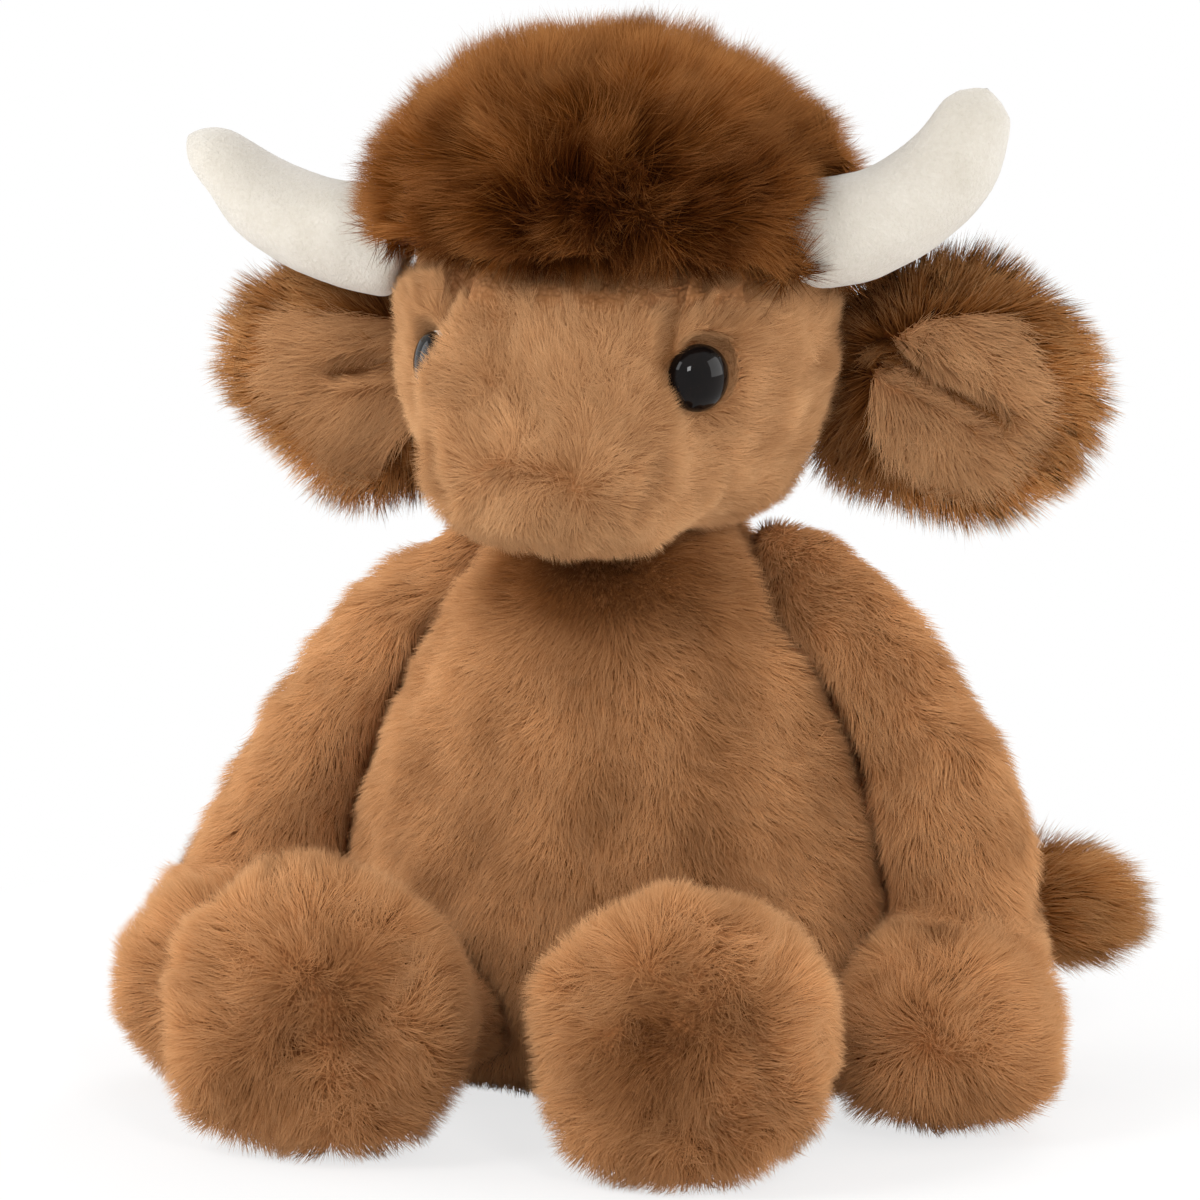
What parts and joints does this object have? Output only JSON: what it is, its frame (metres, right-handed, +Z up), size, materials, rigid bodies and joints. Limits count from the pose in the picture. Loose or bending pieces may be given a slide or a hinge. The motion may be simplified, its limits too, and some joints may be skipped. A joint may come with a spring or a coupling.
{
  "type": "plush cow",
  "caption": "Seated stuffed plush cow with short curved horns, long-pile crown, ears and tail tuft, glossy domed eyes, and soft arms, legs, ears and tail that turn at their seams.",
  "frame": {"origin": "middle of the seat panel, on the surface that the toy sits on", "axes": "+Z up, the toy faces -Y, its own left is +X"},
  "size_m": [0.2344, 0.1828, 0.2605],
  "materials": {
    "body_fur": "mid-brown plush, pile about 9 mm long, lighter at the tips",
    "face_fur": "light tan plush, pile about 9 mm long",
    "sole_fur": "brown plush that radiates from the middle",
    "long_fur": "dark chestnut plush, pile about 22 mm long",
    "horn_plush": "cream short-nap plush",
    "seat_cloth": "plain woven brown cloth",
    "bag_cloth": "plain woven undyed cloth",
    "eye_plastic": "black, highly polished",
    "washer_plastic": "natural white, moulded"
  },
  "bodies": {
    "torso": {"torso": "body_fur", "seat_panel": "seat_cloth", "pellet_bag": "bag_cloth"},
    "head": {"head": "face_fur", "muzzle_panel": "face_fur", "crown": "long_fur", "left_horn": "horn_plush", "right_horn": "horn_plush", "left_eye": "eye_plastic", "right_eye": "eye_plastic", "left_eye_washer": "washer_plastic", "right_eye_washer": "washer_plastic"},
    "left_ear": {"left_ear_back": "long_fur", "left_ear_lining": "face_fur"},
    "right_ear": {"right_ear_back": "long_fur", "right_ear_lining": "face_fur"},
    "left_arm": {"left_arm": "body_fur", "left_paw_panel": "sole_fur"},
    "right_arm": {"right_arm": "body_fur", "right_paw_panel": "sole_fur"},
    "left_leg": {"left_leg": "body_fur", "left_sole_panel": "sole_fur"},
    "right_leg": {"right_leg": "body_fur", "right_sole_panel": "sole_fur"},
    "tail": {"tail": "body_fur", "tail_tuft": "long_fur"}
  },
  "joints": [
    {"name": "head_turn", "type": "hinge", "parent": "torso", "child": "head", "pos_m": [0, -0.012, 0.143], "axis": [0, 0, 1], "range_deg": [-35, 35], "stiffness_Nm_per_rad": 0.06},
    {"name": "left_ear_swing", "type": "hinge", "parent": "head", "child": "left_ear", "pos_m": [0.05494, 0.003, 0.176], "axis": [0.0345, 0.0055, 0.9994], "range_deg": [-25, 25], "stiffness_Nm_per_rad": 0.03},
    {"name": "right_ear_swing", "type": "hinge", "parent": "head", "child": "right_ear", "pos_m": [-0.05494, 0.003, 0.176], "axis": [-0.37, 0.0586, 0.9272], "range_deg": [-25, 25], "stiffness_Nm_per_rad": 0.03},
    {"name": "tail_swing", "type": "hinge", "parent": "torso", "child": "tail", "pos_m": [0, 0.04623, 0.04], "axis": [0, 0, 1], "range_deg": [0, 90], "stiffness_Nm_per_rad": 0.02},
    {"name": "left_arm_lift", "type": "hinge", "parent": "torso", "child": "left_arm", "pos_m": [0.04268, -0.003, 0.123], "axis": [0, -1, 0], "range_deg": [0, 40], "stiffness_Nm_per_rad": 0.04},
    {"name": "left_leg_lift", "type": "hinge", "parent": "torso", "child": "left_leg", "pos_m": [0.03, -0.05445, 0.026], "axis": [-1, 0, 0], "range_deg": [0, 25], "stiffness_Nm_per_rad": 0.04},
    {"name": "right_arm_lift", "type": "hinge", "parent": "torso", "child": "right_arm", "pos_m": [-0.04268, -0.003, 0.123], "axis": [0, 1, 0], "range_deg": [0, 40], "stiffness_Nm_per_rad": 0.04},
    {"name": "right_leg_lift", "type": "hinge", "parent": "torso", "child": "right_leg", "pos_m": [-0.03, -0.05445, 0.026], "axis": [-1, 0, 0], "range_deg": [0, 25], "stiffness_Nm_per_rad": 0.04}
  ]
}
